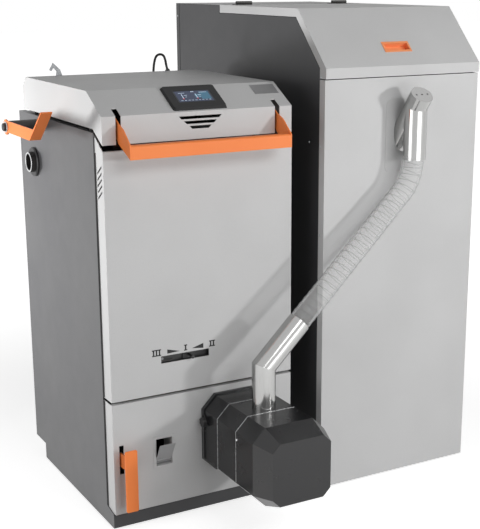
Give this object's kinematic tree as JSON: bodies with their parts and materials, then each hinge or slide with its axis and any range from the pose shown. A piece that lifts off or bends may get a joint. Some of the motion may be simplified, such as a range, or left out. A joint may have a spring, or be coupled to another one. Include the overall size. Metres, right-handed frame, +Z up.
{
  "type": "pellet boiler",
  "caption": "Free-standing pellet boiler with a faceted burner on its lower door, tilting hood and air selector, fed by auger and ribbed hose from a tall hopper beside it.",
  "frame": {"origin": "on the floor under the middle of boiler, burner, lever and hopper together", "axes": "+Z up, -Y the front with the burner, +X to the right towards the hopper"},
  "size_m": [1.3696, 1.344, 1.517],
  "materials": {
    "light_sheet": "satin",
    "dark_sheet": "satin",
    "orange_sheet": "satin",
    "black_case": "satin",
    "black_plastic": "matte",
    "screen_glass": "gloss",
    "bright_steel": "polished",
    "zinc_steel": "zinc plated",
    "body_steel": "matte",
    "heat_steel": "matte",
    "insulation": "matte",
    "rope_seal": "braided",
    "hose_plastic": "translucent",
    "rubber": "matte",
    "cable_sheath": "satin",
    "motor_cast": "cast"
  },
  "bodies": {
    "frame": {"boiler_plinth": "dark_sheet", "levelling_feet": "rubber", "left_side_panel": "dark_sheet", "right_side_panel": "dark_sheet", "back_panel": "dark_sheet", "top_deck": "dark_sheet", "boiler_body": "body_steel", "flue_collar": "body_steel", "water_sockets": "zinc_steel", "side_pipe": "body_steel", "side_pipe_collar": "black_plastic", "body_cover": "body_steel", "upper_front_panel": "light_sheet", "selector_guide": "black_plastic", "fixed_hinge_leaves": "zinc_steel", "panel_cable": "cable_sheath", "pellet_hose": "hose_plastic", "feeder_tube": "bright_steel", "auger_motor": "motor_cast", "hopper_base": "dark_sheet", "hopper_front_panel": "light_sheet", "hopper_side_panels": "dark_sheet", "hopper_back_panel": "dark_sheet", "auger_cover_plate": "light_sheet", "pellet_funnel": "zinc_steel", "door_pins": "zinc_steel"},
    "hood": {"hood_shell": "light_sheet", "touch_panel": "black_plastic", "touch_screen": "screen_glass", "hood_bumpers": "rubber", "hook_plate": "zinc_steel", "cable_gland": "black_plastic", "hood_hinge_leaves": "zinc_steel", "handle_pivots": "zinc_steel"},
    "hood_bail": {"hood_handle": "orange_sheet"},
    "cleaning_arm": {"cleaning_shaft": "body_steel", "cleaning_lever": "orange_sheet", "lever_cap": "black_plastic"},
    "selector": {"selector_lever": "black_plastic"},
    "door": {"lower_door_panel": "light_sheet", "door_slab": "insulation", "door_seal": "rope_seal", "air_frame": "zinc_steel", "burner_flange": "black_case", "burner_rear_case": "black_case", "burner_mid_case": "black_case", "burner_front_case": "black_case", "burner_plates": "zinc_steel", "burner_tube": "heat_steel", "pellet_chute": "heat_steel", "fan_motor": "motor_cast", "drop_tube": "bright_steel"},
    "flap": {"air_flap": "zinc_steel"},
    "door_latch": {"door_handle": "orange_sheet"},
    "wing_knob": {"burner_knob": "black_plastic"},
    "fan": {"fan_wheel": "motor_cast"},
    "auger": {"auger_screw": "heat_steel"},
    "lid": {"hopper_lid": "light_sheet", "lid_cup": "orange_sheet", "lid_hinge_leaves": "zinc_steel"}
  },
  "joints": [
    {"name": "door_hinge", "type": "hinge", "parent": "frame", "child": "door", "pos_m": [0.0202, -0.255, 0.052], "axis": [0, 0, 1], "range_deg": [0, 30], "deforming": ["pellet_hose"]},
    {"name": "hood_hinge", "type": "hinge", "parent": "frame", "child": "hood", "pos_m": [-0.2698, 0.395, 1.19], "axis": [-1, 0, 0], "range_deg": [0, 75], "deforming": ["panel_cable"]},
    {"name": "hood_handle_pivot", "type": "hinge", "parent": "hood", "child": "hood_bail", "pos_m": [-0.2693, -0.202, 1.233], "axis": [-1, 0, 0], "range_deg": [0, 15]},
    {"name": "cleaning_lever_pivot", "type": "hinge", "parent": "frame", "child": "cleaning_arm", "pos_m": [-0.6128, 0.241, 1.152], "axis": [1, 0, 0], "range_deg": [0, 50]},
    {"name": "selector_slide", "type": "slide", "parent": "frame", "child": "selector", "axis": [1, 0, 0], "range_m": [-0.074, 0.041]},
    {"name": "flap_pivot", "type": "hinge", "parent": "door", "child": "flap", "pos_m": [-0.4088, -0.2816, 0.1962], "axis": [1, 0, 0], "range_deg": [-29, 41]},
    {"name": "door_handle_pivot", "type": "hinge", "parent": "door", "child": "door_latch", "pos_m": [-0.5448, -0.265, 0.225], "axis": [1, 0, 0], "range_deg": [-25, 6]},
    {"name": "wing_knob_turn", "type": "hinge", "parent": "door", "child": "wing_knob", "pos_m": [-0.2828, -0.311, 0.301], "axis": [1, 0, 0], "continuous": true},
    {"name": "fan_spin", "type": "hinge", "parent": "door", "child": "fan", "pos_m": [-0.1598, -0.547, 0.254], "axis": [0, 1, 0], "continuous": true},
    {"name": "auger_spin", "type": "hinge", "parent": "frame", "child": "auger", "pos_m": [0.3983, -0.4025, 1.217], "axis": [0, 0.5878, -0.809], "continuous": true},
    {"name": "lid_hinge", "type": "hinge", "parent": "frame", "child": "lid", "pos_m": [0.3982, 0.329, 1.511], "axis": [-1, 0, 0], "range_deg": [0, 80]}
  ]
}
